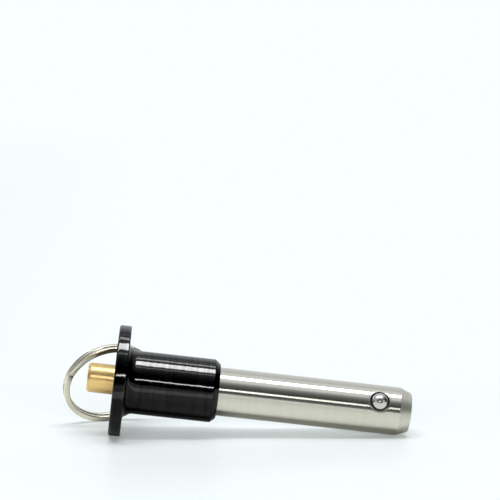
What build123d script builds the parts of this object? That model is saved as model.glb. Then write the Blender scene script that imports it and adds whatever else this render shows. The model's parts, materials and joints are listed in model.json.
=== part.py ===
"""Ball lock pin with a push-button handle, 12 mm shank, lying on a flat surface.

The pin is drawn about its own axis first: s runs along the axis from the
handle's front shoulder (s = 0) towards the nose, u is the radial direction
that ends up nearly vertical, h is horizontal. It is then laid down so that it
rests on the rim of its flange and on the edge of its nose, with the split ring
leaning back on the same surface. All dimensions are in millimetres.
"""
from build123d import *
import math
import os

# ------------------------------------------------------------------ dimensions
# shank
SHANK_R = 5.98          # 12 mm nominal, running fit
SHANK_LEN = 47.75       # shoulder to nose
SHANK_IN_HANDLE = 12.0  # length pressed into the handle
SPIGOT_R = 5.5          # the pressed stretch, stepped down from the shank
MOUTH_R = 6.0           # chamfered mouth of the handle's bore
GRIP_LEN = 36.0         # plain stretch from the shoulder
RELIEF = 0.04           # the end of the shank tapers by this much on radius
NOSE_LEN = 2.9          # lead-in chamfer
NOSE_R = 4.78           # radius of the nose face
SHANK_BORE_R = 3.02
SHANK_BORE_END = 45.6
SPRING_POCKET_R = 4.0
SPRING_POCKET_END = -6.0

# lock balls
BALL_R = 2.183          # 11/64 inch ball
BALL_S = 39.6           # ball centre from the shoulder
BALL_OUT = 5.20         # centre from the axis, locked
BALL_TRAVEL = 1.45      # radial travel to the released position
BALL_ANGLE = 30.0       # direction of the ball holes above the horizontal
BALL_HOLE_R = 2.22
LIP_START, LIP_R = 5.45, 2.135   # the staked lip narrows from here to here
LIP_END = 5.80
STAKE_R = 2.42          # ring left round the ball by staking

# handle
BARREL_R = 7.8
BARREL_LEN = 22.75
BARREL_CHAMFER_S, BARREL_CHAMFER_R = 1.3, 1.05
FLANGE_R = 13.65
FLANGE_T = 3.0
FLANGE_EDGE = 0.35      # round of the front edge
FLANGE_REAR_EDGE = 0.5  # round of the rear edge
NECK_FILLET = 1.8
CHAMBER_R = 4.68
BUTTON_HOLE_R = 3.72
EYE_R = 2.1             # hole for the ring
EYE_FROM_AXIS = 10.75
EYE_ANGLE = 51.8        # from the top of the flange towards the back

# button
BUTTON_R = 3.65
BUTTON_OUT = 6.5        # how far it stands out of the handle
BUTTON_STROKE = 4.0
COLLAR_R = 4.60
COLLAR_T = 2.0
TAIL_R = 2.0            # spindle tail pressed into the button

# spindle
LAND_R = 2.95
STEM_R = 2.40
GROOVE_R = 1.50

# return spring
WIRE_D = 0.70
SPRING_R = 3.45         # mean radius of the coil
SPRING_TURNS = 7.0

# split ring: two turns of flat wire with one crossover and tapered ends
RING_R = 11.9           # outer radius
RING_W = 1.45           # radial width of the wire
RING_T = 1.0            # thickness of one turn
RING_GAP = 0.04         # gap between the turns
RING_ROUND = 0.25
RING_CROSS = (106.0, 178.0)   # where the wire crosses from one turn to the other
RING_TIP = 0.12         # thickness left at the tip of each tapered end

NODES = {}

# -------------------------------------------------------------- how it lies
# The floor touches the rounded front edge of the flange and the edge where the
# nose chamfer starts. a_ and b_ are the distances between those two points,
# along and across the pin's axis.
nose_edge_s = SHANK_LEN - NOSE_LEN
nose_edge_r = SHANK_R - RELIEF
a_ = nose_edge_s + BARREL_LEN + FLANGE_EDGE
b_ = FLANGE_R - FLANGE_EDGE - nose_edge_r
TILT = math.asin(FLANGE_EDGE / math.hypot(a_, b_)) + math.atan2(b_, a_)
axis_z0 = nose_edge_r * math.cos(TILT) + nose_edge_s * math.sin(TILT)

axis_dir = Vector(math.cos(TILT), 0, -math.sin(TILT))
pin_plane = Plane(origin=(0, 0, axis_z0), x_dir=(0, 1, 0), z_dir=tuple(axis_dir))
PIN = Location(pin_plane)          # local x = h, local y = u, local z = s


def revolved(points):
    """Solid of revolution about the pin's axis from (s, r) corners."""
    line = Polyline(*[(r, 0, s) for s, r in points], close=True)
    return revolve(make_face(line), Axis.Z, 360)


def rims(solid, s, r):
    """The circular edges of radius r at s."""
    return [e for e in solid.edges()
            if e.geom_type == GeomType.CIRCLE
            and abs(e.radius - r) < 1e-3 and abs(e.arc_center.Z - s) < 1e-3]


def one(shape):
    """The single solid of a shape."""
    found = shape.solids()
    assert len(found) == 1, len(found)
    return found[0]


# ------------------------------------------------------------------ the handle
rear = -(BARREL_LEN + FLANGE_T)
front_of_flange = -BARREL_LEN
handle = revolved([
    (rear, BUTTON_HOLE_R), (rear, FLANGE_R), (front_of_flange, FLANGE_R),
    (front_of_flange, BARREL_R), (-BARREL_CHAMFER_S, BARREL_R),
    (0, BARREL_R - BARREL_CHAMFER_R), (0, MOUTH_R), (SPIGOT_R - MOUTH_R, SPIGOT_R),
    (-SHANK_IN_HANDLE, SPIGOT_R), (-SHANK_IN_HANDLE, CHAMBER_R),
    (front_of_flange, CHAMBER_R), (front_of_flange, BUTTON_HOLE_R),
])
handle = fillet(rims(handle, front_of_flange, FLANGE_R), FLANGE_EDGE)
handle = fillet(rims(handle, rear, FLANGE_R), FLANGE_REAR_EDGE)
handle = fillet(rims(handle, front_of_flange, BARREL_R), NECK_FILLET)
handle = fillet(rims(handle, -BARREL_CHAMFER_S, BARREL_R), 0.45)
handle = fillet(rims(handle, 0, BARREL_R - BARREL_CHAMFER_R), 0.25)
handle = chamfer(rims(handle, rear, BUTTON_HOLE_R), 0.3)

eye_h = EYE_FROM_AXIS * math.sin(math.radians(EYE_ANGLE))
eye_u = EYE_FROM_AXIS * math.cos(math.radians(EYE_ANGLE))
eye_c = 0.25
eye = revolved([
    (rear - 1, 0), (rear - 1, EYE_R + eye_c + 1), (rear + eye_c, EYE_R),
    (front_of_flange - eye_c, EYE_R), (front_of_flange + 1, EYE_R + eye_c + 1),
    (front_of_flange + 1, 0),
])
handle = handle - Pos(eye_h, eye_u, 0) * eye
NODES["handle"] = one(handle)

# ------------------------------------------------------------------- the shank
shank = revolved([
    (-SHANK_IN_HANDLE, SPRING_POCKET_R), (-SHANK_IN_HANDLE, SPIGOT_R - 0.3),
    (-SHANK_IN_HANDLE + 0.3, SPIGOT_R), (0, SPIGOT_R), (0, SHANK_R), (GRIP_LEN, SHANK_R),
    (nose_edge_s, nose_edge_r), (SHANK_LEN, NOSE_R), (SHANK_LEN, 0),
    (SHANK_BORE_END, 0), (SHANK_BORE_END, SHANK_BORE_R),
    (SPRING_POCKET_END, SHANK_BORE_R), (SPRING_POCKET_END, SPRING_POCKET_R),
])
shank = fillet(rims(shank, SHANK_LEN, NOSE_R), 0.25)

# radial ball holes, each narrowed by a staked lip near the surface
ball_tool = revolved([
    (1.0, 0), (1.0, BALL_HOLE_R), (LIP_START, BALL_HOLE_R), (LIP_END, LIP_R),
    (LIP_END, STAKE_R), (SHANK_R + 1, STAKE_R), (SHANK_R + 1, 0),
])
ca, sa = math.cos(math.radians(BALL_ANGLE)), math.sin(math.radians(BALL_ANGLE))
ball_dirs = {"lock_ball_a": (-ca, sa, 0), "lock_ball_b": (ca, -sa, 0)}
for d in ball_dirs.values():
    shank = shank - Plane(origin=(0, 0, BALL_S), x_dir=(0, 0, 1), z_dir=d).location * ball_tool
NODES["shank"] = one(shank)

# ------------------------------------------------------------------- the balls
for name, d in ball_dirs.items():
    centre = (d[0] * BALL_OUT, d[1] * BALL_OUT, BALL_S)
    NODES[name] = one(Location(centre) * Sphere(BALL_R))

# ------------------------------------------------------------------ the button
button_end = rear - BUTTON_OUT
collar_back = front_of_flange + 0.02
collar_front = front_of_flange + COLLAR_T
tail_end = button_end + 4.5
button = revolved([
    (button_end, 0), (button_end, BUTTON_R - 0.4), (button_end + 0.7, BUTTON_R),
    (collar_back, BUTTON_R), (collar_back, COLLAR_R), (collar_front, COLLAR_R),
    (collar_front, TAIL_R), (tail_end, TAIL_R), (tail_end, 0),
])
NODES["button"] = one(button)

# ----------------------------------------------------------------- the spindle
# The ramp beside the land keeps to the path of a ball that comes in evenly
# while the button is pressed, with a little play.
slope = BALL_TRAVEL / BUTTON_STROKE
w = BALL_R * math.sin(math.atan(slope))
ramp_at_0 = BALL_OUT - slope * w - math.sqrt(BALL_R ** 2 - w ** 2) - 0.05


def ramp_s(r):
    """Where the ramp has radius r."""
    return BALL_S + (r - ramp_at_0) / slope


groove_back = BALL_S - BUTTON_STROKE - 1.2
spindle_end = BALL_S + 1.6
spindle = revolved([
    (tail_end + 0.1, 0), (tail_end + 0.1, TAIL_R - 0.3), (tail_end + 0.4, TAIL_R),
    (collar_front, TAIL_R), (collar_front, STEM_R), (-3.0, STEM_R),
    (-2.45, LAND_R), (3.5, LAND_R), (4.05, STEM_R), (27.45, STEM_R),
    (28.0, LAND_R), (groove_back - (LAND_R - GROOVE_R), LAND_R),
    (groove_back, GROOVE_R), (ramp_s(GROOVE_R), GROOVE_R),
    (ramp_s(LAND_R), LAND_R), (spindle_end - 0.5, LAND_R),
    (spindle_end, LAND_R - 0.5), (spindle_end, 0),
])
NODES["spindle"] = one(spindle)

# ----------------------------------------------------------- the return spring
spring_back = collar_front + 0.02
spring_front = SPRING_POCKET_END - 0.02
spring_len = spring_front - spring_back
pitch = spring_len / SPRING_TURNS
path = Helix(pitch, spring_len + 2 * 0.2, SPRING_R, center=(0, 0, spring_back - 0.2))
start = path @ 0
coil = sweep(Plane(origin=start, z_dir=path % 0) * Circle(WIRE_D / 2), path=path)
keep = Pos(0, 0, (spring_back + spring_front) / 2) * Cylinder(SPRING_R + 2, spring_len)
NODES["return_spring"] = one(coil & keep)

# -------------------------------------------------------------- the split ring
# Drawn flat about its own Z axis. The wire starts on the back turn, goes round,
# crosses to the front turn, and goes round again.
half = (RING_T + RING_GAP) / 2
mid_r = RING_R - RING_W / 2


def wire_face(theta, z, thick=RING_T):
    """The wire's section, square to the ring, at angle theta and height z."""
    t = math.radians(theta)
    out = (math.cos(t), math.sin(t), 0)
    p = Plane(origin=(mid_r * out[0], mid_r * out[1], z), x_dir=out, z_dir=(-out[1], out[0], 0))
    return p * RectangleRounded(RING_W, thick, min(RING_ROUND, 0.4 * thick))


c0, c1 = RING_CROSS


def cross_z(f):
    """Height of the crossing wire's middle at this fraction of the way across."""
    return half * (1 - math.cos(math.pi * f)) - half


arc = 360 - (c1 - c0)
back_turn = revolve(wire_face(c1, -half), Axis.Z, arc)
front_turn = revolve(wire_face(c1, half), Axis.Z, arc)
steps = 12
cross = loft([wire_face(c0 + (c1 - c0) * i / steps, cross_z(i / steps)) for i in range(steps + 1)], ruled=True)

# each end tapers along the crossing wire, so that the ring keeps its thickness there
tip_f = math.acos((RING_TIP + RING_GAP) / half - 1) / math.pi
front_tip, back_tip = [], []
for i in range(9):
    f = tip_f * i / 8
    t = half * (1 + math.cos(math.pi * f)) - RING_GAP
    front_tip.append(wire_face(c0 + (c1 - c0) * f, half + RING_T / 2 - t / 2, t))
    back_tip.append(wire_face(c1 - (c1 - c0) * f, -half - RING_T / 2 + t / 2, t))
ring = back_turn + cross + front_turn + loft(front_tip, ruled=True) + loft(back_tip, ruled=True)

# where the ring hangs: its turn through the eye, and how its plane is set
ring_x = Vector(0.3007, 0.1079, 0.9476).normalized()
ring_n = Vector(-0.8283, -0.4629, 0.3156)
ring_n = (ring_n - ring_x * ring_n.dot(ring_x)).normalized()
ring_y = ring_n.cross(ring_x)
PASS = math.radians(78.8)          # the part of the ring that is in the eye
to_eye = ring_x * (mid_r * math.cos(PASS)) + ring_y * (mid_r * math.sin(PASS))
eye_mid = (rear + front_of_flange) / 2
EYE = PIN * Location((eye_h, eye_u, eye_mid))


def ring_location(swing):
    """The ring swung about the eye's axis by some degrees."""
    centre = to_eye * -1
    own = Plane(origin=tuple(centre), x_dir=tuple(ring_x), z_dir=tuple(ring_n)).location
    return EYE * Rot(0, 0, swing) * own


def lowest(swing):
    """Height of the ring's lowest point over the floor."""
    p = Plane(ring_location(swing))
    nz = abs(p.z_dir.Z)
    rr, tt = RING_R - RING_ROUND, half + RING_T / 2 - RING_ROUND
    return p.origin.Z - rr * math.sqrt(1 - nz * nz) - tt * nz - RING_ROUND


lo, hi = -12.0, 12.0
assert (lowest(lo) > 0) != (lowest(hi) > 0)
for _ in range(60):
    m = (lo + hi) / 2
    if (lowest(m) > 0) == (lowest(lo) > 0):
        lo = m
    else:
        hi = m
SWING = (lo + hi) / 2
ring_loc = ring_location(SWING)

# ------------------------------------------------------------------- placing
placed = {n: PIN * s for n, s in NODES.items()}
placed["split_ring"] = ring_loc * one(ring)

lows, highs = [], []
for s in placed.values():
    b = s.bounding_box()
    lows.append(b.min)
    highs.append(b.max)
x_mid = (min(v.X for v in lows) + max(v.X for v in highs)) / 2
y_mid = (min(v.Y for v in lows) + max(v.Y for v in highs)) / 2
SHIFT = Location((-x_mid, -y_mid, 0))

COLOURS = {
    "handle": (0.03, 0.03, 0.035), "shank": (0.72, 0.71, 0.68), "button": (0.80, 0.62, 0.30),
    "spindle": (0.55, 0.56, 0.58), "return_spring": (0.45, 0.45, 0.48),
    "lock_ball_a": (0.9, 0.3, 0.3), "lock_ball_b": (0.3, 0.4, 0.9), "split_ring": (0.70, 0.68, 0.60),
}

os.makedirs("parts", exist_ok=True)
for name, shape in placed.items():
    out = SHIFT * shape
    out.label = name
    out.color = Color(*COLOURS[name])
    export_step(out, f"parts/{name}.step")

# ------------------------------------------------- the numbers that others need
def at(h, u, s):
    """A point of the pin's own axes in the part's frame, in metres."""
    v = (SHIFT * PIN * Location((h, u, s))).position
    return [round(v.X / 1000, 7), round(v.Y / 1000, 7), round(v.Z / 1000, 7)]


def along(h, u, s):
    """A direction of the pin's own axes in the part's frame."""
    v = pin_plane.x_dir * h + pin_plane.y_dir * u + pin_plane.z_dir * s
    return [round(v.X, 7), round(v.Y, 7), round(v.Z, 7)]


print("tilt_deg", round(math.degrees(TILT), 4), "ring swing", round(SWING, 4))
print("shoulder", at(0, 0, 0), "axis", along(0, 0, 1), "u", along(0, 1, 0), "h", along(1, 0, 0))
print("seat point", at(0, SHANK_R + 0.35, 0), "grip middle", at(0, 0, GRIP_LEN / 2))
print("eye", at(eye_h, eye_u, eye_mid))
for name, d in ball_dirs.items():
    print(name, "inward", along(-d[0], -d[1], 0), "centre", at(d[0] * BALL_OUT, d[1] * BALL_OUT, BALL_S))
p = Plane(SHIFT * ring_loc)
print("ring centre", [round(v / 1000, 7) for v in tuple(p.origin)],
      "x", [round(v, 6) for v in tuple(p.x_dir)], "n", [round(v, 6) for v in tuple(p.z_dir)])
print("overall", round(max(v.X for v in highs) - min(v.X for v in lows), 3),
      round(max(v.Y for v in highs) - min(v.Y for v in lows), 3),
      round(max(v.Z for v in highs) - min(v.Z for v in lows), 3))
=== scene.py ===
"""Looks of the ball lock pin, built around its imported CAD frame. Metres throughout."""
import bpy
import bmesh
import json
import math
import numpy as np
from mathutils import Matrix, Vector


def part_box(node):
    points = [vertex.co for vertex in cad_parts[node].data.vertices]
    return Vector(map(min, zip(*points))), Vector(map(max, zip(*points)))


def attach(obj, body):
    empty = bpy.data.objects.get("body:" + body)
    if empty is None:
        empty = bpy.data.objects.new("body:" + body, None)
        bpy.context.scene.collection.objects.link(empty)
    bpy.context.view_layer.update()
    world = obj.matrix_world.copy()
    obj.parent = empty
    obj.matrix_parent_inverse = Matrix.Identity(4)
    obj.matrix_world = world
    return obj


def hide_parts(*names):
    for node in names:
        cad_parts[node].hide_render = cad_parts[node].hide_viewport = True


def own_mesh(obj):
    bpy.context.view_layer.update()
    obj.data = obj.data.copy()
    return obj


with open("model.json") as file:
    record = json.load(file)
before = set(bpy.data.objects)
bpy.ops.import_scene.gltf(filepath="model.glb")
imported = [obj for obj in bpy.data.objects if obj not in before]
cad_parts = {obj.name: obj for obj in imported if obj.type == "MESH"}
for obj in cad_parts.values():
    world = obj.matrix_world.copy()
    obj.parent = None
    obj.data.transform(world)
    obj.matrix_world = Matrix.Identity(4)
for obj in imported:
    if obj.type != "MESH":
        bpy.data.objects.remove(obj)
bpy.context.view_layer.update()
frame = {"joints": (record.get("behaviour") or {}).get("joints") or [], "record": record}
record = frame["record"]
MM = 0.001

# ------------------------------------------------------------------ frame of the pin
# s runs along the pin from the shoulder to the nose, u is nearly up, h is away
mounts = {m["name"]: m for m in record["mounts"]}
joints = {j["name"]: j for j in frame["joints"]}
A = Vector(mounts["grip_shank"]["axis"]).normalized()
SHOULDER = Vector(mounts["grip_shank"]["pos_m"]) - A * (18 * MM)
H = Vector((0, 1, 0))
U = A.cross(H).normalized()


def placed(x, y, z, at):
    m = Matrix.Identity(4)
    for i, v in enumerate((x, y, z)):
        m[0][i], m[1][i], m[2][i] = v
    m[0][3], m[1][3], m[2][3] = at
    return m


PIN = placed(H, U, A, SHOULDER)          # local x = h, y = u, z = s


def pin_point(h, u, s):
    return PIN @ Vector((h * MM, u * MM, s * MM))


# ------------------------------------------------------------------ camera
cam_data = bpy.data.cameras.new("camera")
cam = bpy.data.objects.new("camera", cam_data)
bpy.context.scene.collection.objects.link(cam)
cam_data.lens, cam_data.sensor_width = 144.0, 36.0
cam_data.clip_start, cam_data.clip_end = 0.02, 60.0
PITCH, ROLL, YAW = 0.1112, 0.0065, 0.042
fwd = Vector((math.sin(YAW) * math.cos(PITCH), math.cos(YAW) * math.cos(PITCH), -math.sin(PITCH)))
right0 = fwd.cross(Vector((0, 0, 1))).normalized()
up0 = right0.cross(fwd)
right = right0 * math.cos(ROLL) + up0 * math.sin(ROLL)
up = right.cross(fwd)
cam.matrix_world = placed(right, up, -fwd, SHOULDER + Vector((-0.0127132, -0.4868266, 0.0895401)))
bpy.context.scene.camera = cam

# ------------------------------------------------------------------ mesh helpers
col = bpy.context.scene.collection


def new_object(name, mesh, matrix=PIN):
    """An object at the origin whose mesh is laid in place by matrix."""
    mesh.transform(matrix)
    o = bpy.data.objects.new(name, mesh)
    col.objects.link(o)
    return o


def rounded(corners, support=0.05):
    """Profile from (s, r, fillet radius) corners; each round has its arc and a holding point on both sides."""
    n = len(corners)
    out = []
    for i in range(n):
        p = np.array(corners[i][:2], float)
        rad = corners[i][2] if len(corners[i]) > 2 else 0.0
        a = np.array(corners[(i - 1) % n][:2], float)
        b = np.array(corners[(i + 1) % n][:2], float)
        if rad <= 0:
            out.append(tuple(p))
            continue
        da, db = (a - p) / np.linalg.norm(a - p), (b - p) / np.linalg.norm(b - p)
        ang = math.acos(max(-1, min(1, float(da @ db))))
        t = rad / math.tan(ang / 2)
        centre = p + (da + db) / np.linalg.norm(da + db) * (rad / math.sin(ang / 2))
        pa, pb = p + da * t, p + db * t
        va, vb = pa - centre, pb - centre
        sweep = math.pi - ang
        steps = max(3, int(math.degrees(sweep) / 9))
        hold = min(support, rad * 0.35)
        out.append(tuple(pa + da * hold))
        cross = va[0] * vb[1] - va[1] * vb[0]
        for k in range(steps + 1):
            w = sweep * k / steps * (1 if cross > 0 else -1)
            c, s = math.cos(w), math.sin(w)
            out.append((centre[0] + va[0] * c - va[1] * s, centre[1] + va[0] * s + va[1] * c))
        out.append(tuple(pb + db * hold))
    return out


class Builder:
    """Collects vertices in millimetres and faces, then writes one mesh in metres."""

    def __init__(self):
        self.v, self.f = [], []

    def add(self, p):
        self.v.append(tuple(p))
        return len(self.v) - 1

    def mesh(self, name, sharp=35.0):
        m = bpy.data.meshes.new(name)
        m.from_pydata([tuple(c * MM for c in p) for p in self.v], [], self.f)
        bm = bmesh.new()
        bm.from_mesh(m)
        bmesh.ops.remove_doubles(bm, verts=bm.verts, dist=1e-9)
        bmesh.ops.recalc_face_normals(bm, faces=bm.faces)
        bm.to_mesh(m)
        bm.free()
        smooth(m, sharp)
        return m


def smooth(m, sharp=35.0):
    m.polygons.foreach_set("use_smooth", [True] * len(m.polygons))
    if sharp is not None:
        m.set_sharp_from_angle(angle=math.radians(sharp))
    m.update()


def lathe_into(b, profile, seg, closed=True, phase=0.0):
    rings = []
    for s, r in profile:
        if r < 1e-6:
            rings.append([b.add((0, 0, s))])
        else:
            rings.append([b.add((r * math.cos(phase + 2 * math.pi * k / seg),
                                 r * math.sin(phase + 2 * math.pi * k / seg), s)) for k in range(seg)])
    n = len(rings)
    for i in range(n if closed else n - 1):
        p, q = rings[i], rings[(i + 1) % n]
        if len(p) == 1 and len(q) == 1:
            continue
        for k in range(seg):
            k2 = (k + 1) % seg
            if len(p) == 1:
                b.f.append((p[0], q[k], q[k2]))
            elif len(q) == 1:
                b.f.append((p[k], p[k2], q[0]))
            else:
                b.f.append((p[k], p[k2], q[k2], q[k]))
    return rings


def lathe(name, profile, seg=192, sharp=35.0):
    b = Builder()
    lathe_into(b, profile, seg)
    return b.mesh(name, sharp)


def cut(obj, tool):
    """Subtracts tool from obj and removes it."""
    mod = obj.modifiers.new("cut", "BOOLEAN")
    mod.operation, mod.solver, mod.object = "DIFFERENCE", "EXACT", tool
    bpy.context.view_layer.update()
    dg = bpy.context.evaluated_depsgraph_get()
    made = bpy.data.meshes.new_from_object(obj.evaluated_get(dg))
    obj.modifiers.clear()
    old = obj.data
    obj.data = made
    bpy.data.meshes.remove(old)
    bpy.data.objects.remove(tool)


# ------------------------------------------------------------------ node helpers
class Nodes:
    def __init__(self, name):
        self.mat = bpy.data.materials.new(name)
        self.mat.use_nodes = True
        self.t = self.mat.node_tree
        self.t.nodes.clear()
        self.out = self.t.nodes.new("ShaderNodeOutputMaterial")
        self.bsdf = self.t.nodes.new("ShaderNodeBsdfPrincipled")
        self.link(self.bsdf.outputs["BSDF"], self.out.inputs["Surface"])
        self.coord = self.t.nodes.new("ShaderNodeTexCoord").outputs["Object"]
        self._pin = None

    def pin(self):
        """(h, u, s) of the shaded point in the pin's own axes."""
        if self._pin is None:
            v = self.vec("SUBTRACT", self.coord, tuple(SHOULDER))
            self._pin = tuple(self.vec("DOT_PRODUCT", v, tuple(axis)) for axis in (H, U, A))
        return self._pin

    def link(self, a, b):
        self.t.links.new(a, b)

    def put(self, socket, value):
        if isinstance(value, bpy.types.NodeSocket):
            self.link(value, socket)
        else:
            socket.default_value = value

    def math(self, op, a, b=None, c=None, clamp=False):
        n = self.t.nodes.new("ShaderNodeMath")
        n.operation, n.use_clamp = op, clamp
        for i, v in enumerate((a, b, c)):
            if v is not None:
                self.put(n.inputs[i], v)
        return n.outputs[0]

    def vec(self, op, a, b=None):
        n = self.t.nodes.new("ShaderNodeVectorMath")
        n.operation = op
        self.put(n.inputs[0], a)
        if b is not None:
            self.put(n.inputs[1], b)
        return n.outputs["Value"] if op in ("LENGTH", "DOT_PRODUCT", "DISTANCE") else n.outputs[0]

    def xyz(self, v=None):
        n = self.t.nodes.new("ShaderNodeSeparateXYZ")
        self.link(v or self.coord, n.inputs[0])
        return n.outputs[0], n.outputs[1], n.outputs[2]

    def join(self, x, y, z):
        n = self.t.nodes.new("ShaderNodeCombineXYZ")
        for i, v in enumerate((x, y, z)):
            self.put(n.inputs[i], v)
        return n.outputs[0]

    def noise(self, vector, scale=1.0, detail=3.0, rough=0.55, lac=2.0):
        n = self.t.nodes.new("ShaderNodeTexNoise")
        self.put(n.inputs["Vector"], vector)
        n.inputs["Scale"].default_value = scale
        n.inputs["Detail"].default_value = detail
        n.inputs["Roughness"].default_value = rough
        n.inputs["Lacunarity"].default_value = lac
        return n.outputs["Fac"] if "Fac" in n.outputs else n.outputs[0]

    def ramp(self, fac, stops, mode="LINEAR"):
        n = self.t.nodes.new("ShaderNodeValToRGB")
        n.color_ramp.interpolation = mode
        e = n.color_ramp.elements
        while len(e) > 1:
            e.remove(e[0])
        e[0].position, e[0].color = stops[0][0], colour(stops[0][1])
        for p, c in stops[1:]:
            x = e.new(p)
            x.color = colour(c)
        self.link(fac, n.inputs[0])
        return n.outputs[0]

    def mix(self, fac, a, b):
        n = self.t.nodes.new("ShaderNodeMix")
        n.data_type = "RGBA"
        self.put(n.inputs["Factor"], fac)
        self.put(n.inputs[6], a if isinstance(a, bpy.types.NodeSocket) else colour(a))
        self.put(n.inputs[7], b if isinstance(b, bpy.types.NodeSocket) else colour(b))
        return n.outputs[2]

    def span(self, v, a, b, lo=0.0, hi=1.0):
        """v from a..b mapped to lo..hi, smooth and clamped."""
        n = self.t.nodes.new("ShaderNodeMapRange")
        n.interpolation_type = "SMOOTHSTEP"
        self.put(n.inputs["Value"], v)
        n.inputs["From Min"].default_value, n.inputs["From Max"].default_value = a, b
        n.inputs["To Min"].default_value, n.inputs["To Max"].default_value = lo, hi
        return n.outputs[0]

    def bump(self, height, distance, strength=1.0, normal=None):
        n = self.t.nodes.new("ShaderNodeBump")
        n.inputs["Strength"].default_value = strength
        n.inputs["Distance"].default_value = distance
        self.link(height, n.inputs["Height"])
        if normal is not None:
            self.link(normal, n.inputs["Normal"])
        return n.outputs[0]

    def across_marks(self):
        """Unit vector in the surface and square to the turning marks, along which their highlights stretch."""
        v = self.vec("SUBTRACT", self.coord, tuple(SHOULDER))
        marks = self.vec("CROSS_PRODUCT", tuple(A), v)
        n = self.t.nodes.new("ShaderNodeNewGeometry").outputs["Normal"]
        return self.vec("NORMALIZE", self.vec("CROSS_PRODUCT", marks, n))


def colour(c):
    if isinstance(c, (int, float)):
        return (c, c, c, 1.0)
    return tuple(c) + ((1.0,) if len(c) == 3 else ())


def give(obj, material):
    obj.data.materials.clear()
    obj.data.materials.append(material)


# ------------------------------------------------------------------ sizes that materials and meshes share
SHANK_R, RELIEF, GRIP, NOSE_S, LEN = 5.98, 0.04, 36.0, 44.85, 47.75
BALL_S, BALL_ANG, HOLE_R, DISH_R, DISH = 39.6, math.radians(30.0), 2.42, 3.05, 0.03
ball_dirs = {"lock_ball_a": (-math.cos(BALL_ANG), math.sin(BALL_ANG)), "lock_ball_b": (math.cos(BALL_ANG), -math.sin(BALL_ANG))}

ring_mount = mounts["lanyard_ring"]
RC, RN = Vector(ring_mount["pos_m"]), Vector(ring_mount["axis"]).normalized()
eye_at = Vector(joints["ring_swing"]["pos_m"])
to_eye = (eye_at - RC)
to_eye = (to_eye - RN * to_eye.dot(RN)).normalized()
side = RN.cross(to_eye)
PASS = math.radians(78.8)
RX = to_eye * math.cos(PASS) - side * math.sin(PASS)
RY = RN.cross(RX)
RING = placed(RX, RY, RN, RC)
R_OUT, R_W, R_T, R_GAP = 11.9, 1.45, 1.0, 0.04
C0, C1, TIP = 106.0, 178.0, 0.12
mid, halfz = R_OUT - R_W / 2, (R_T + R_GAP) / 2

# ------------------------------------------------------------------ materials
def turned_vector(k, along, round_):
    """Object coordinates stretched so that a noise makes rings round the pin's axis."""
    x, y, z = k.pin()
    return k.join(k.math("MULTIPLY", x, round_), k.math("MULTIPLY", y, round_), k.math("MULTIPLY", z, along))


def black_anodised():
    k = Nodes("black_anodised_aluminium")
    p = k.bsdf.inputs
    fine = k.noise(turned_vector(k, 5200.0, 45.0), 1.0, 2.0, 0.6)
    broad = k.noise(turned_vector(k, 2300.0, 40.0), 1.0, 2.0, 0.6)
    mottle = k.noise(k.coord, 900.0, 3.0, 0.6)
    k.link(k.mix(k.span(broad, 0.35, 0.7), (0.0004, 0.0004, 0.0005), (0.0022, 0.0022, 0.0025)), p["Base Color"])
    k.link(k.math("MULTIPLY_ADD", mottle, 0.03, k.math("MULTIPLY_ADD", fine, 0.07, 0.035)), p["Roughness"])
    p["IOR"].default_value = 1.5
    # painted shade: less gloss on the side that lies down, darkening the reflections on the lower half
    gloss_shade_below = k.span(k.pin()[1], -1.0 * MM, -3.2 * MM, 1.0, 0.68)
    gloss = k.math("MULTIPLY_ADD", k.span(broad, 0.35, 0.65), 0.10, 0.25)
    k.link(k.math("MULTIPLY", gloss, gloss_shade_below), p["Specular IOR Level"])
    p["Anisotropic"].default_value = 0.5
    k.link(k.across_marks(), p["Tangent"])
    height = k.math("ADD", k.math("MULTIPLY_ADD", fine, 0.30, broad), k.math("MULTIPLY", mottle, 0.25))
    waves = k.noise(turned_vector(k, 1000.0, 420.0), 1.0, 1.0, 0.5)
    k.link(k.bump(height, 0.000016, normal=k.bump(waves, 0.000026)), p["Normal"])
    return k.mat


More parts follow.
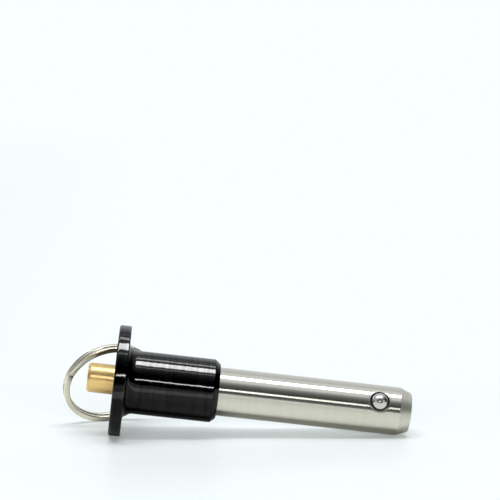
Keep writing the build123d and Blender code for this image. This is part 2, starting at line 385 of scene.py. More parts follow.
def ground_steel():
    k = Nodes("ground_stainless_steel")
    p = k.bsdf.inputs
    h, u, z = k.pin()
    fine = k.noise(turned_vector(k, 9000.0, 260.0), 1.0, 2.0, 0.6)
    broad = k.noise(turned_vector(k, 900.0, 130.0), 1.0, 3.0, 0.55)
    cloud = k.noise(k.coord, 260.0, 3.0, 0.5)
    tone = k.math("MULTIPLY_ADD", k.math("SUBTRACT", fine, 0.5), 0.35, broad)
    base = k.mix(tone, (0.64, 0.631, 0.553), (0.74, 0.73, 0.653))
    # painted shade in the staked gap round each ball: dark and not metallic
    da = ball_dirs["lock_ball_a"]
    aside = k.math("ADD", k.math("MULTIPLY", h, -da[1]), k.math("MULTIPLY", u, da[0]))
    along = k.math("SUBTRACT", z, BALL_S * MM)
    rho = k.math("SQRT", k.math("ADD", k.math("MULTIPLY", aside, aside), k.math("MULTIPLY", along, along)))
    # with the painted shade reaching past its upper edge
    gap_shade_reach = k.math("MULTIPLY_ADD", k.math("MINIMUM", aside, 0.0), 0.07, rho)
    gap_shade = k.span(gap_shade_reach, 2.43 * MM, 2.395 * MM)
    k.link(k.mix(gap_shade, base, (0.012, 0.012, 0.013)), p["Base Color"])
    k.link(k.math("SUBTRACT", 1.0, k.math("MULTIPLY", gap_shade, 0.9)), p["Metallic"])
    rough = k.math("MULTIPLY_ADD", fine, 0.05, k.math("MULTIPLY_ADD", cloud, 0.03, 0.13))
    staked = k.math("MULTIPLY", k.span(rho, 2.42 * MM, 2.46 * MM), k.span(rho, 3.0 * MM, 2.75 * MM))
    rough = k.math("MULTIPLY_ADD", staked, 0.22, rough)
    # the lead-in chamfer is turned, not ground, so it is matt
    nose = k.span(z, (NOSE_S - 0.03) * MM, (NOSE_S + 0.03) * MM)
    k.link(k.math("MULTIPLY_ADD", nose, 0.30, k.math("MULTIPLY_ADD", gap_shade, 0.35, rough)), p["Roughness"])
    k.link(k.math("SUBTRACT", 1.0, k.math("MULTIPLY", nose, 0.7)), p["Anisotropic"])
    k.link(k.across_marks(), p["Tangent"])
    k.link(k.bump(k.math("ADD", fine, broad), 0.000001), p["Normal"])
    return k.mat


def polished_steel(node):
    k = Nodes("polished_ball_steel_" + node[-1])
    p = k.bsdf.inputs
    scuff = k.noise(k.coord, 2400.0, 4.0, 0.65)
    dents = k.noise(k.coord, 950.0, 2.0, 0.5)
    # painted shade where the ball meets the edge of its hole: its rim darkened and not metallic
    h, u, z = k.pin()
    d = ball_dirs[node]
    aside = k.math("ADD", k.math("MULTIPLY", h, -d[1]), k.math("MULTIPLY", u, d[0]))
    along = k.math("MULTIPLY", k.math("SUBTRACT", z, BALL_S * MM), 1.06)
    rho = k.math("SQRT", k.math("ADD", k.math("MULTIPLY", aside, aside), k.math("MULTIPLY", along, along)))
    ball_rim_shade = k.span(rho, 2.0 * MM, 2.12 * MM)
    k.link(k.mix(ball_rim_shade, k.mix(scuff, (0.58, 0.58, 0.56), (0.74, 0.74, 0.71)), (0.03, 0.03, 0.03)), p["Base Color"])
    k.link(k.math("SUBTRACT", 1.0, k.math("MULTIPLY", ball_rim_shade, 0.8)), p["Metallic"])
    k.link(k.math("MULTIPLY_ADD", scuff, 0.10, 0.05), p["Roughness"])
    k.link(k.bump(k.math("MULTIPLY_ADD", scuff, 0.15, dents), 0.00005), p["Normal"])
    return k.mat


def brass():
    k = Nodes("turned_brass")
    p = k.bsdf.inputs
    fine = k.noise(turned_vector(k, 7000.0, 160.0), 1.0, 2.0, 0.6)
    stain = k.noise(k.coord, 700.0, 3.0, 0.55)
    k.link(k.mix(stain, (0.75, 0.52, 0.20), (0.82, 0.595, 0.27)), p["Base Color"])
    p["Metallic"].default_value = 0.8
    k.link(k.math("MULTIPLY_ADD", fine, 0.08, 0.27), p["Roughness"])
    p["Anisotropic"].default_value = 0.4
    k.link(k.across_marks(), p["Tangent"])
    k.link(k.bump(k.math("ADD", fine, k.math("MULTIPLY", stain, 1.5)), 0.000005), p["Normal"])
    return k.mat


def ring_steel():
    k = Nodes("rolled_ring_wire")
    p = k.bsdf.inputs
    stain = k.noise(k.coord, 500.0, 3.0, 0.6)
    base = k.mix(stain, (0.74, 0.71, 0.58), (0.82, 0.79, 0.67))
    # painted shade in the seam between the turns, followed over the crossing
    v = k.vec("SUBTRACT", k.coord, tuple(RC))
    level = k.vec("DOT_PRODUCT", v, tuple(RN))
    turn = k.math("DEGREES", k.math("ARCTAN2", k.vec("DOT_PRODUCT", v, tuple(RY)), k.vec("DOT_PRODUCT", v, tuple(RX))))
    f = k.math("DIVIDE", k.math("SUBTRACT", turn, C0), C1 - C0)
    f = k.math("MINIMUM", k.math("MAXIMUM", f, 0.0), 1.0)
    inside = k.math("MULTIPLY", k.math("GREATER_THAN", f, 0.0), k.math("LESS_THAN", f, 1.0))
    swing = k.math("MULTIPLY", k.math("COSINE", k.math("MULTIPLY", f, math.pi)), halfz * MM)
    gap = k.math("ABSOLUTE", level)
    upper = k.math("ABSOLUTE", k.math("ADD", k.math("ABSOLUTE", k.math("ADD", level, swing)), -halfz * MM))
    seam = k.math("MINIMUM", k.math("ADD", gap, k.math("MULTIPLY", inside, 1.0)), k.math("ADD", upper, k.math("MULTIPLY", k.math("SUBTRACT", 1.0, inside), 1.0)))
    ends = k.math("MULTIPLY", k.span(f, 0.06, 0.3), k.span(f, 0.94, 0.7))
    ends = k.math("MAXIMUM", ends, k.math("SUBTRACT", 1.0, inside))
    seam = k.math("MULTIPLY", seam, k.math("MULTIPLY_ADD", inside, 1.2, 1.0))
    seam_shade = k.math("MULTIPLY", k.span(seam, 0.30 * MM, 0.11 * MM, 0.0, 0.95), ends)
    seam_shade = k.math("MULTIPLY", seam_shade, k.span(gap, 0.99 * MM, 0.90 * MM))
    k.link(k.mix(seam_shade, base, (0.085, 0.063, 0.035)), p["Base Color"])
    p["Metallic"].default_value = 1.0
    k.link(k.math("MULTIPLY_ADD", stain, 0.10, 0.12), p["Roughness"])
    k.link(k.bump(stain, 0.000003), p["Normal"])
    return k.mat


def plain_steel(name, base, rough):
    k = Nodes(name)
    p = k.bsdf.inputs
    fine = k.noise(turned_vector(k, 6000.0, 200.0), 1.0, 2.0, 0.6)
    k.link(k.mix(fine, tuple(0.9 * c for c in base), tuple(min(1, 1.08 * c) for c in base)), p["Base Color"])
    p["Metallic"].default_value = 1.0
    k.link(k.math("MULTIPLY_ADD", fine, 0.1, rough), p["Roughness"])
    k.link(k.bump(fine, 0.000005), p["Normal"])
    return k.mat


# ------------------------------------------------------------------ handle
rear, front = -25.75, -22.75
# The neck is a flare that meets the barrel at a faint edge, where the streaks on the barrel stop.
flare = [(front + 3.64 * (1 - math.cos(w)), 7.8 + 1.876 * (math.sin(math.radians(65)) - math.sin(w)))
         for w in np.radians(np.linspace(0, 65, 12))]
handle_profile = rounded([
    (rear, 3.72 + 0.3, 0.05), (rear, 13.65, 0.5), (front, 13.65, 0.35),
    (front, flare[0][1] + 0.05), *flare, (flare[-1][0] + 0.06, 7.8),
    (-1.3, 7.8, 0.45), (0, 6.75, 0.25), (0, 6.0, 0.04), (-0.5, 5.5),
    (-12.0, 5.5), (-12.0, 4.68), (front, 4.68), (front, 3.72), (rear + 0.3, 3.72, 0.05),
])
handle = new_object("handle_body", lathe("handle_body", handle_profile, 256))
eye_r, eye_ang, eye_c = 10.75, math.radians(51.8), 0.25
eye_h, eye_u = eye_r * math.sin(eye_ang), eye_r * math.cos(eye_ang)
tool_b = Builder()
lathe_into(tool_b, [(rear - 1, 0), (rear - 1, 2.1 + eye_c + 1), (rear - 0.04, 2.1 + eye_c + 0.04), (rear + 0.06, 2.1 + eye_c - 0.12),
                    (rear + eye_c, 2.1 + 0.02), (rear + eye_c + 0.1, 2.1), (front - eye_c - 0.1, 2.1), (front - eye_c, 2.1 + 0.02),
                    (front - 0.06, 2.1 + eye_c - 0.12), (front + 0.04, 2.1 + eye_c + 0.04),
                    (front + 1, 2.1 + eye_c + 1), (front + 1, 0)], 96)
eye_tool = new_object("eye_tool", tool_b.mesh("eye_tool"), PIN @ Matrix.Translation((eye_h * MM, eye_u * MM, 0)))
cut(handle, eye_tool)
smooth(handle.data, 30.0)

# ------------------------------------------------------------------ shank


def shank_r(s):
    return SHANK_R if s <= GRIP else SHANK_R - RELIEF * (s - GRIP) / (NOSE_S - GRIP)


def dish(rho):
    """How far the staking pushed the surface in, at this distance from the ball's axis."""
    t = max(0.0, min(1.0, (rho - HOLE_R) / (DISH_R - HOLE_R)))
    return DISH * (1 - t) ** 2 * (1 + 0.6 * t)


SEG = 160
b = Builder()
half_cols, half_rows = 16, 16
x0, x1 = BALL_S - 3.6, BALL_S + 3.6
step = 2 * math.pi / SEG
phase = math.atan2(ball_dirs["lock_ball_a"][1], ball_dirs["lock_ball_a"][0])
row_s = [x0 + (x1 - x0) * i / (2 * half_rows) for i in range(2 * half_rows + 1)]
long_rows = [0.0] + [36.0 * k / 24 for k in range(1, 24) if 36.0 * k / 24 < x0 - 0.3] + [x0]


def ring_of(s, r):
    return [b.add((r * math.cos(phase + step * k), r * math.sin(phase + step * k), s)) for k in range(SEG)]


def quads(p, q, skip=()):
    for k in range(SEG):
        if k in skip:
            continue
        k2 = (k + 1) % SEG
        b.f.append((p[k], p[k2], q[k2], q[k]))


# outside of the shank: long rows, the rows beside the ball holes, the nose
grid = {}
outer = [ring_of(s, shank_r(s)) for s in long_rows]
for p, q in zip(outer, outer[1:]):
    quads(p, q)
inside_a = set(k % SEG for k in range(-half_cols, half_cols))
inside_b = set((k + SEG // 2) % SEG for k in range(-half_cols, half_cols))
rows = [outer[-1]] + [ring_of(s, shank_r(s)) for s in row_s[1:]]
used = set()
for i in range(len(rows) - 1):
    quads(rows[i], rows[i + 1], inside_a | inside_b)
nose = rounded([(x1, shank_r(x1)), (NOSE_S, SHANK_R - RELIEF, 0.12), (LEN, 4.78, 0.25), (LEN, 0.0)])
last = rows[-1]
for s, r in nose[1:-1]:
    nxt = ring_of(s, r)
    quads(last, nxt)
    last = nxt
for frac in (0.8, 0.5, 0.2):
    nxt = ring_of(LEN, 4.4 * frac)
    quads(last, nxt)
    last = nxt
tip = b.add((0, 0, LEN))
for k in range(SEG):
    b.f.append((last[k], last[(k + 1) % SEG], tip))

# a round hole in each patch: spokes from the rim of the hole to the patch's border
N = 4 * 2 * half_cols
for centre in (0, SEG // 2):
    theta_c = phase + step * centre
    border = []
    ks = list(range(-half_cols, half_cols + 1))
    for k in ks:                                   # nose side, x = x1
        border.append((len(rows) - 1, k))
    for i in range(len(rows) - 2, -1, -1):
        border.append((i, half_cols))
    for k in reversed(ks[:-1]):
        border.append((0, k))
    for i in range(1, len(rows) - 1):
        border.append((i, -half_cols))
    assert len(border) == N
    spokes = []
    stations = [0.0, 0.012, 0.03, 0.06, 0.10, 0.15, 0.21, 0.28, 0.36, 0.45, 0.56, 0.68, 0.82, 1.0]
    for j, (i, k) in enumerate(border):
        xb, yb = row_s[i] - BALL_S, SHANK_R * math.sin(step * k)
        psi = math.atan2(yb, xb)
        xa, ya = HOLE_R * math.cos(psi), HOLE_R * math.sin(psi)
        line = []
        for t in stations[:-1]:
            x, y = xa + (xb - xa) * t, ya + (yb - ya) * t
            s = BALL_S + x
            r = shank_r(s)
            th = math.asin(max(-1, min(1, y / r)))
            d = dish(math.hypot(x, y))
            r -= d
            line.append(b.add((r * math.cos(theta_c + th), r * math.sin(theta_c + th), s)))
        line.append(rows[i][(k + centre) % SEG])
        spokes.append(line)
    for j in range(N):
        p, q = spokes[j], spokes[(j + 1) % N]
        for t in range(len(stations) - 1):
            b.f.append((p[t], p[t + 1], q[t + 1], q[t]))
    # down into the hole: rounded rim, recess wall, its floor, the lip, the bore of the hole
    dx, dy = math.cos(theta_c), math.sin(theta_c)
    rim = [l[0] for l in spokes]
    prev = rim
    psis = [math.atan2(SHANK_R * math.sin(step * k), row_s[i] - BALL_S) for i, k in border]

    def level(rho, out):
        """Ring of the hole's own cylinder at radius rho and this distance out along the ball's axis."""
        made = []
        for psi in psis:
            x, y = rho * math.cos(psi), rho * math.sin(psi)
            made.append(b.add((out * dx - y * dy, out * dy + y * dx, BALL_S + x)))
        return made

    def down(rho, drop):
        made = []
        for psi, v in zip(psis, rim):
            x, y = rho * math.cos(psi), rho * math.sin(psi)
            px, py, _ = b.v[v]
            o = px * dx + py * dy - drop
            made.append(b.add((o * dx - y * dy, o * dy + y * dx, BALL_S + x)))
        return made

    for ring in (down(2.405, 0.012), down(2.395, 0.035), down(2.39, 0.06)):
        for j in range(N):
            b.f.append((prev[j], prev[(j + 1) % N], ring[(j + 1) % N], ring[j]))
        prev = ring
    # the recess follows the surface, 0.2 mm under it, then the lip and the bore
    for ring in (down(2.38, 0.19), down(2.34, 0.22), down(2.18, 0.25), down(2.142, 0.28),
                 level(2.22, 4.9), level(2.22, 3.2)):
        for j in range(N):
            b.f.append((prev[j], prev[(j + 1) % N], ring[(j + 1) % N], ring[j]))
        prev = ring
    grid[centre] = (prev, psis)

# shoulder end: step down to the spigot, spring pocket, bore
back = rounded([(0.0, SHANK_R), (0.0, 5.5), (-11.7, 5.5), (-12.0, 5.2), (-12.0, 4.0), (-6.0, 4.0), (-6.0, 3.02), (33.0, 3.02)])
prev = outer[0]
for s, r in back[1:]:
    nxt = ring_of(s, r)
    quads(nxt, prev)
    prev = nxt
# bore beside the ball holes, on the same columns, with round openings
bore_rows_s = [33.0 + (45.2 - 33.0) * i / 16 for i in range(17)]
b_rows = [prev] + [ring_of(s, 3.02) for s in bore_rows_s[1:]]
hc = 28                                             # columns each side that the opening's patch takes
in_a = set(k % SEG for k in range(-hc, hc))
in_b = set((k + SEG // 2) % SEG for k in range(-hc, hc))
i_lo, i_hi = 4, 12                                  # rows of the patch
for i in range(len(b_rows) - 1):
    skip = (in_a | in_b) if i_lo <= i < i_hi else ()
    for k in range(SEG):
        if k in skip:
            continue
        k2 = (k + 1) % SEG
        b.f.append((b_rows[i][k2], b_rows[i][k], b_rows[i + 1][k], b_rows[i + 1][k2]))
end = ring_of(45.6, 3.02)
for k in range(SEG):
    k2 = (k + 1) % SEG
    b.f.append((b_rows[-1][k2], b_rows[-1][k], end[k], end[k2]))
tip = b.add((0, 0, 45.6))
for k in range(SEG):
    b.f.append((end[(k + 1) % SEG], end[k], tip))


def onward(angles):
    """The same angles with each no smaller than the last, and the first again one turn on."""
    made = [angles[0]]
    for a in angles[1:] + angles[:1]:
        while a < made[-1] - 1e-9:
            a += 2 * math.pi
        made.append(a)
    return made


for centre in (0, SEG // 2):
    wall, psis = grid[centre]
    theta_c = phase + step * centre
    border = [(i_hi, k) for k in range(-hc, hc + 1)] + [(i, hc) for i in range(i_hi - 1, i_lo - 1, -1)]
    border += [(i_lo, k) for k in range(hc - 1, -hc - 1, -1)] + [(i, -hc) for i in range(i_lo + 1, i_hi)]
    M = len(border)
    lines, turns = [], []
    for i, k in border:                             # from where the hole meets the bore to the patch's border
        xb, tb = bore_rows_s[i] - BALL_S, step * k
        psi = math.atan2(3.02 * math.sin(tb), xb)
        xa, ta = 2.22 * math.cos(psi), math.asin(2.22 * math.sin(psi) / 3.02)
        line = [b.add((3.02 * math.cos(theta_c + ta + (tb - ta) * t), 3.02 * math.sin(theta_c + ta + (tb - ta) * t),
                       BALL_S + xa + (xb - xa) * t)) for t in (0.0, 0.2, 0.4, 0.6, 0.8)]
        lines.append(line + [b_rows[i][(k + centre) % SEG]])
        turns.append(psi)
    for j in range(M):
        p, q = lines[j], lines[(j + 1) % M]
        for t in range(len(p) - 1):
            b.f.append((p[t], p[t + 1], q[t + 1], q[t]))
    pa, qa = onward(psis), onward(turns)
    i = j = 0
    while i < N or j < M:                           # the wall's ring and the bore's edge, joined by angle
        if i < N and (j == M or pa[i + 1] <= qa[j + 1]):
            b.f.append((wall[i % N], wall[(i + 1) % N], lines[j % M][0]))
            i += 1
        else:
            b.f.append((wall[i % N], lines[(j + 1) % M][0], lines[j % M][0]))
            j += 1
shank = new_object("shank_body", b.mesh("shank_body", 35.0))

# ------------------------------------------------------------------ button, spindle
end = rear - 6.5
button_profile = rounded([
    (end + 0.06, 0.0), (end + 0.04, 1.6), (end, 2.6), (end, 3.25, 0.08), (end + 0.7, 3.65, 0.12), (front + 0.02, 3.65),
    (front + 0.02, 4.6, 0.1), (front + 2.0, 4.6, 0.2), (front + 2.0, 2.0), (end + 4.5, 2.0), (end + 4.5, 0.0),
])
button = new_object("button_body", lathe("button_body", button_profile, 160))

slope = 1.45 / 4.0
w = 2.183 * math.sin(math.atan(slope))
ramp0 = 5.20 - slope * w - math.sqrt(2.183 ** 2 - w ** 2) - 0.05


def ramp_s(r):
    return BALL_S + (r - ramp0) / slope


groove = BALL_S - 4.0 - 1.2
tail = end + 4.5
spindle_profile = rounded([
    (tail + 0.1, 0.0), (tail + 0.1, 1.7), (tail + 0.4, 2.0, 0.1), (front + 2.0, 2.0), (front + 2.0, 2.4, 0.1), (-3.0, 2.4, 0.3),
    (-2.45, 2.95, 0.15), (3.5, 2.95, 0.15), (4.05, 2.4, 0.3), (27.45, 2.4, 0.3), (28.0, 2.95, 0.15),
    (groove - 1.45, 2.95, 0.2), (groove, 1.5, 0.3), (ramp_s(1.5), 1.5, 0.3), (ramp_s(2.95), 2.95, 0.2),
    (BALL_S + 1.1, 2.95, 0.15), (BALL_S + 1.6, 2.45, 0.15), (BALL_S + 1.6, 0.0),
])
spindle = new_object("spindle_body", lathe("spindle_body", spindle_profile, 96))


# ------------------------------------------------------------------ balls
def ball(name, node):
    lo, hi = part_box(node)
    bm = bmesh.new()
    bmesh.ops.create_icosphere(bm, subdivisions=6, radius=2.183 * MM)
    m = bpy.data.meshes.new(name)
    bm.to_mesh(m)
    bm.free()
    smooth(m, None)
    d = ball_dirs[node]
    centre = pin_point(d[0] * 5.20, d[1] * 5.20, BALL_S)
    assert (centre - (lo + hi) / 2).length < 0.00005
    return new_object(name, m, placed(H, U, A, centre))


ball_a = ball("ball_a_body", "lock_ball_a")
ball_b = ball("ball_b_body", "lock_ball_b")


# ------------------------------------------------------------------ sweeps
def tube(name, centres, frames, section, cap=True, sharp=40.0, squeeze=None, trim=None):
    """Sweep of a closed section (list of (a, b) offsets) along centres, each with its two cross directions, in mm."""
    b = Builder()
    loops = []
    squeeze = squeeze or [1.0] * len(centres)
    for j, (c, (ea, eb), k) in enumerate(zip(centres, frames, squeeze)):
        outline = [(p if trim is None else trim(j, p, q, k), q) for p, q in section]
        loops.append([b.add(tuple(c[i] + ea[i] * p + eb[i] * q * k for i in range(3))) for p, q in outline])
    n = len(section)
    for l0, l1 in zip(loops, loops[1:]):
        for k in range(n):
            b.f.append((l0[k], l0[(k + 1) % n], l1[(k + 1) % n], l1[k]))
    if cap:
        for loop in (loops[0], loops[-1]):
            b.f.append(tuple(loop))
    return b.mesh(name, sharp)


# return spring: closed ends, 1 dead turn each, ground square
wire, mean = 0.70, 3.45
s_back, s_front = front + 2.02, -6.02
turns_total, dead = 7.5, 0.9
span = (s_front - s_back) - wire


def spring_z(t):
    """Height along the spring of the wire's centre after t turns."""
    rise_dead = wire * 1.02 * dead
    active = span - 2 * rise_dead
    if t < dead:
        return s_back + wire / 2 + rise_dead * t / dead
    if t > turns_total - dead:
        return s_back + wire / 2 + span - rise_dead * (turns_total - t) / dead
    return s_back + wire / 2 + rise_dead + active * (t - dead) / (turns_total - 2 * dead)


cs, fr = [], []
for i in range(int(turns_total * 48) + 1):
    t = i / 48
    a = 2 * math.pi * t
    z = (spring_z(max(0, t - 0.06)) + spring_z(t) + spring_z(min(turns_total, t + 0.06))) / 3
    cs.append((mean * math.cos(a), mean * math.sin(a), z))
    fr.append(((math.cos(a), math.sin(a), 0), (0, 0, 1)))
section = [(wire / 2 * math.cos(2 * math.pi * k / 16), wire / 2 * math.sin(2 * math.pi * k / 16)) for k in range(16)]
spring = new_object("spring_wire", tube("spring_wire", cs, fr, section))

# split ring
round_r, na = 0.28, 6
section = []
for cx, cy, a0 in ((1, 1, 0), (-1, 1, 90), (-1, -1, 180), (1, -1, 270)):
    for k in range(na + 1):
        a = math.radians(a0 + 90 * k / na)
        section.append((cx * (R_W / 2 - round_r) + round_r * math.cos(a), cy * (R_T / 2 - round_r) + round_r * math.sin(a)))


def ring_wire(turn):
    """Height of the wire's middle and its thickness after this many degrees; both ends taper along the crossing."""
    if turn < C1:
        t = halfz * (1 + math.cos(math.pi * (C1 - turn) / (C1 - C0))) - R_GAP
        return -halfz - R_T / 2 + t / 2, t
    if turn < C0 + 360:
        return -halfz, R_T
    if turn < C1 + 360:
        return -halfz * math.cos(math.pi * (turn - C0 - 360) / (C1 - C0)), R_T
    if turn < C0 + 720:
        return halfz, R_T
    t = halfz * (1 + math.cos(math.pi * (turn - C0 - 720) / (C1 - C0))) - R_GAP
    return halfz + R_T / 2 - t / 2, t


taper = math.acos((TIP + R_GAP) / halfz - 1) / math.pi * (C1 - C0)
start, stop = C1 - taper, C0 + 720 + taper
count = 1240
cs, fr, thick = [], [], []
for i in range(count + 1):
    th = start + (stop - start) * i / count
    a = math.radians(th)
    z, t = ring_wire(th)
    cs.append((mid * math.cos(a), mid * math.sin(a), z))
    fr.append(((math.cos(a), math.sin(a), 0), (0, 0, 1)))
    thick.append(t / R_T)


def flush(j, p, q, k):
    """The tapered ends keep the rounded outer edge of the full wire."""
    if k > 0.999:
        return p
    depth = (R_T / 2 - (-q if j < count / 2 else q)) * k
    half = R_W / 2 - round_r + math.sqrt(round_r ** 2 - max(0.0, round_r - depth) ** 2)
    return max(-half, min(half, p))


ring = new_object("split_ring_wire", tube("split_ring_wire", cs, fr, section, sharp=50.0, squeeze=thick, trim=flush), RING)

# ------------------------------------------------------------------ materials on, bodies
for o, m, node, body, slot in (
    (handle, black_anodised(), "handle", "pin_body", "black_anodised"),
    (shank, ground_steel(), "shank", "pin_body", "ground_steel"),
    (spring, plain_steel("spring_wire_steel", (0.42, 0.42, 0.43), 0.25), "return_spring", "pin_body", "spring_steel"),
    (button, brass(), "button", "plunger", "brass"),
    (spindle, plain_steel("spindle_steel", (0.55, 0.55, 0.56), 0.28), "spindle", "plunger", "spindle_steel"),
    (ball_a, polished_steel("lock_ball_a"), "lock_ball_a", "ball_a", "polished_steel"),
    (ball_b, polished_steel("lock_ball_b"), "lock_ball_b", "ball_b", "polished_steel"),
    (ring, ring_steel(), "split_ring", "ring", "ring_steel"),
):
    give(o, m)
    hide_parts(node)
    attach(o, body)
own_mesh(spring)

# ------------------------------------------------------------------ floor
floor_b = bmesh.new()
bmesh.ops.create_circle(floor_b, cap_ends=True, segments=128, radius=6.0)
fm = bpy.data.meshes.new("floor")
floor_b.to_mesh(fm)
floor_b.free()
floor = new_object("floor", fm, Matrix.Identity(4))
WHITE, WHITE_LEFT = (0.955, 0.995, 1.0), (0.90, 0.97, 0.985)
k = Nodes("pale_floor")
p = k.bsdf.inputs
dist = k.vec("LENGTH", k.coord)
fx, fy, fz = k.xyz()
cloud = k.noise(k.coord, 9.0, 2.0, 0.5)
seen = k.t.nodes.new("ShaderNodeLightPath").outputs["Is Camera Ray"]
unseen = k.math("SUBTRACT", 1.0, seen)
pale = k.mix(cloud, (0.765, 0.83, 0.84), (0.785, 0.85, 0.86))
pale = k.mix(unseen, pale, (0.785, 0.812, 0.785))
# painted shadow on the floor under and behind the pin, shown only in reflections
floor_shadow_zone = k.math("MULTIPLY", k.span(fy, -0.0086, -0.0066), k.span(fx, 0.000, -0.006, 0.3, 0.75))
floor_shadow_zone = k.math("MAXIMUM", floor_shadow_zone, k.span(fy, 0.002, 0.014, 0.0, 0.7))
painted_floor_shadow = k.math("MULTIPLY", k.math("MULTIPLY", unseen, k.span(fx, -0.037, -0.032)), floor_shadow_zone)
k.link(k.mix(painted_floor_shadow, pale, (0.1, 0.1, 0.1)), p["Base Color"])
p["Roughness"].default_value = 0.45
p["Specular IOR Level"].default_value = 0.5
p["Emission Color"].default_value = colour((0.97, 1.0, 1.0))
# painted light: the floor glows in front of the pin and beside the ring, seen only in reflections
painted_floor_glow = k.math("SUBTRACT", k.span(fy, -0.0080, -0.0095, 0.02, 0.13), k.span(fy, -0.026, -0.045, 0.0, 0.10))
painted_floor_glow = k.math("ADD", painted_floor_glow, k.span(fx, -0.031, -0.037, 0.0, 0.15))
painted_floor_glow = k.math("MULTIPLY", unseen, painted_floor_glow)
k.link(k.math("MULTIPLY_ADD", seen, 0.16, painted_floor_glow), p["Emission Strength"])
glow = k.t.nodes.new("ShaderNodeEmission")
k.link(k.mix(k.math("MULTIPLY", k.span(fx, -0.03, -0.14), k.span(dist, 1.6, 0.5)), WHITE, WHITE_LEFT), glow.inputs[0])
mixer = k.t.nodes.new("ShaderNodeMixShader")
k.link(k.math("MAXIMUM", k.span(dist, 0.09, 0.38), k.math("MULTIPLY", seen, k.span(fy, 0.012, 0.085))), mixer.inputs[0])
k.link(k.bsdf.outputs[0], mixer.inputs[1])
k.link(glow.outputs[0], mixer.inputs[2])
k.link(mixer.outputs[0], k.out.inputs["Surface"])
give(floor, k.mat)

# ------------------------------------------------------------------ light
world = bpy.data.worlds.new("studio")
bpy.context.scene.world = world
world.use_nodes = True
wt = world.node_tree
wt.nodes.clear()


class WorldNodes(Nodes):
    def __init__(self, tree):
        self.t = tree
        self.coord = tree.nodes.new("ShaderNodeTexCoord").outputs["Generated"]


k = WorldNodes(wt)
x, y, z = k.xyz()
rho = k.math("DEGREES", k.math("ARCTAN2", k.math("MULTIPLY", y, -1.0), z))
fac = k.math("MULTIPLY_ADD", rho, 1 / 360, 0.5)


def at(deg):
    return (deg + 180) / 360


stops = [(-180, 0.9), (-92, 0.85), (-62, 0.76), (-50, 0.76), (-40, 0.70), (-33, 0.62), (-27, 0.74), (-19, 0.88), (-11, 0.86), (-5, 0.8),
         (12, 0.8), (18, 0.85), (24, 0.85), (29, 0.66), (34, 0.42), (39, 0.26), (44, 0.19), (50, 0.13), (56, 0.09), (66, 0.07), (76, 0.09),
         (82, 0.11), (86, 0.16), (90, 0.5), (93, 0.9), (180, 0.9)]
env = k.ramp(fac, [(at(d), v) for d, v in stops])
env = k.mix(1.0, env, env)
dim = k.math("MULTIPLY", k.span(x, 0.40, 0.95, 1.0, 0.04), k.span(x, -0.45, -0.95, 1.0, 0.55))
scaled = k.vec("MULTIPLY", env, k.join(dim, dim, dim))
tinted = k.vec("MULTIPLY", scaled, (0.97, 1.0, 1.04))
bg_env = wt.nodes.new("ShaderNodeBackground")
k.link(tinted, bg_env.inputs[0])
bg_env.inputs[1].default_value = 1.0
bg_cam = wt.nodes.new("ShaderNodeBackground")
bg_cam.inputs[0].default_value = colour(WHITE)
bg_cam.inputs[1].default_value = 1.0
path = wt.nodes.new("ShaderNodeLightPath")
mixer = wt.nodes.new("ShaderNodeMixShader")
k.link(path.outputs["Is Camera Ray"], mixer.inputs[0])
k.link(bg_env.outputs[0], mixer.inputs[1])
k.link(bg_cam.outputs[0], mixer.inputs[2])
world_out = wt.nodes.new("ShaderNodeOutputWorld")
k.link(mixer.outputs[0], world_out.inputs[0])
world.cycles_visibility.diffuse = False


def area(name, centre, size_x, size_y, radiance, aim=(0, 0, 0.01), diffuse=True, glossy=True, tint=(1, 1, 1), only=None):
    """A rectangular soft light of this radiance, facing aim, its long side along X."""
    data = bpy.data.lights.new(name, "AREA")
    data.shape, data.size, data.size_y = "RECTANGLE", size_x, size_y
    data.energy = radiance * math.pi * size_x * size_y
    data.color = tint
    o = bpy.data.objects.new(name, data)
    col.objects.link(o)
    back = (Vector(centre) - Vector(aim)).normalized()
    xdir = Vector((1, 0, 0))
    xdir = (xdir - back * xdir.dot(back)).normalized()
    o.matrix_world = placed(xdir, back.cross(xdir), back, centre)
    o.visible_camera = False
    o.visible_diffuse, o.visible_glossy = diffuse, glossy
    if only:
        o.light_linking.receiver_collection = only
    return o


def over(rho_deg, dist):
    a = math.radians(rho_deg)
    return Vector((0, -math.sin(a) * dist, math.cos(a) * dist + 0.01))


def group(name, objects):
    """Receivers for a light that only these objects take."""
    c = bpy.data.collections.new(name)
    for o in objects:
        c.objects.link(o)
    return c


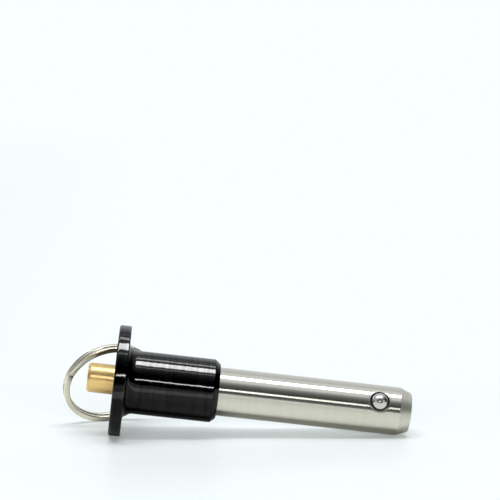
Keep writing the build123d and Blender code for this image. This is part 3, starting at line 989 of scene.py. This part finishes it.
black = group("black_part", [handle])
metal = group("metal_parts", [shank, spring, button, spindle, ball_a, ball_b, ring])
yellow = group("yellow_part", [button])
area("handle_box", over(5.4, 0.7), 0.72, 0.208, 28.0, diffuse=False, only=black)
area("handle_top", over(-56.0, 0.9), 1.2, 0.40, 0.30, diffuse=False, only=black)
area("handle_line_a", over(-17.2, 0.9), 0.9, 0.110, 6.5, diffuse=False, only=black)
area("handle_line_b", over(-30.0, 0.9), 0.9, 0.040, 1.2, diffuse=False, only=black)
area("handle_line_c", over(22.5, 0.9), 0.9, 0.060, 3.6, diffuse=False, only=black)
area("handle_strip", over(69.3, 1.2), 0.55, 0.05, 37.0, diffuse=False, only=black)
area("metal_box", over(4.6, 0.7), 0.72, 0.170, 6.0, diffuse=False, only=metal)
area("metal_strip", over(69.6, 1.2), 0.55, 0.15, 2.6, diffuse=False, only=metal)
area("handle_low", (-0.02, -0.033, 0.0063), 0.20, 0.0062, 1.25, aim=(-0.02, -0.0112, 0.012), diffuse=False, only=black)
area("ring_low", (-0.0330, -0.0020, 0.0085), 0.010, 0.008, 0.45, aim=(-0.0395, 0.006, 0.018), diffuse=False, only=group("ring_part", [ring]))
area("button_strip", over(67.5, 1.2), 0.55, 0.18, 2.8, diffuse=False, only=yellow)
area("button_low", (-0.034, -0.037, 0.0052), 0.030, 0.008, 0.40, aim=(-0.034, -0.0033, 0.0142), diffuse=False, tint=(1, 0.85, 0.7), only=yellow)
area("overhead_fill", over(12.0, 0.7), 0.72, 0.16, 7.0, glossy=False)
area("mid_fill", over(-8.0, 0.7), 0.72, 0.35, 1.75, glossy=False)
area("back_fill", over(-70, 1.2), 1.6, 0.35, 2.2, glossy=False)
area("front_fill", over(75, 1.2), 1.6, 0.16, 15.0, glossy=False)
area("sky_fill", (0, 0, 1.3), 3.2, 3.2, 0.13, glossy=False)
balls = group("balls", [ball_a, ball_b])
for side_name, x in (("left", -0.45), ("right", 0.53)):
    area("ball_" + side_name, (x, -0.40, 0.12), 0.40, 0.40, 0.55, aim=(0.035, -0.01, 0.01), diffuse=False, only=balls)

# ------------------------------------------------------------------ colour handling
view = bpy.context.scene.view_settings
view.view_transform, view.look, view.exposure, view.gamma = "Standard", "None", 0.0, 1.0
view.use_curve_mapping = True
view.curve_mapping.black_level = (0.0035, 0.0035, 0.0035)
view.curve_mapping.update()
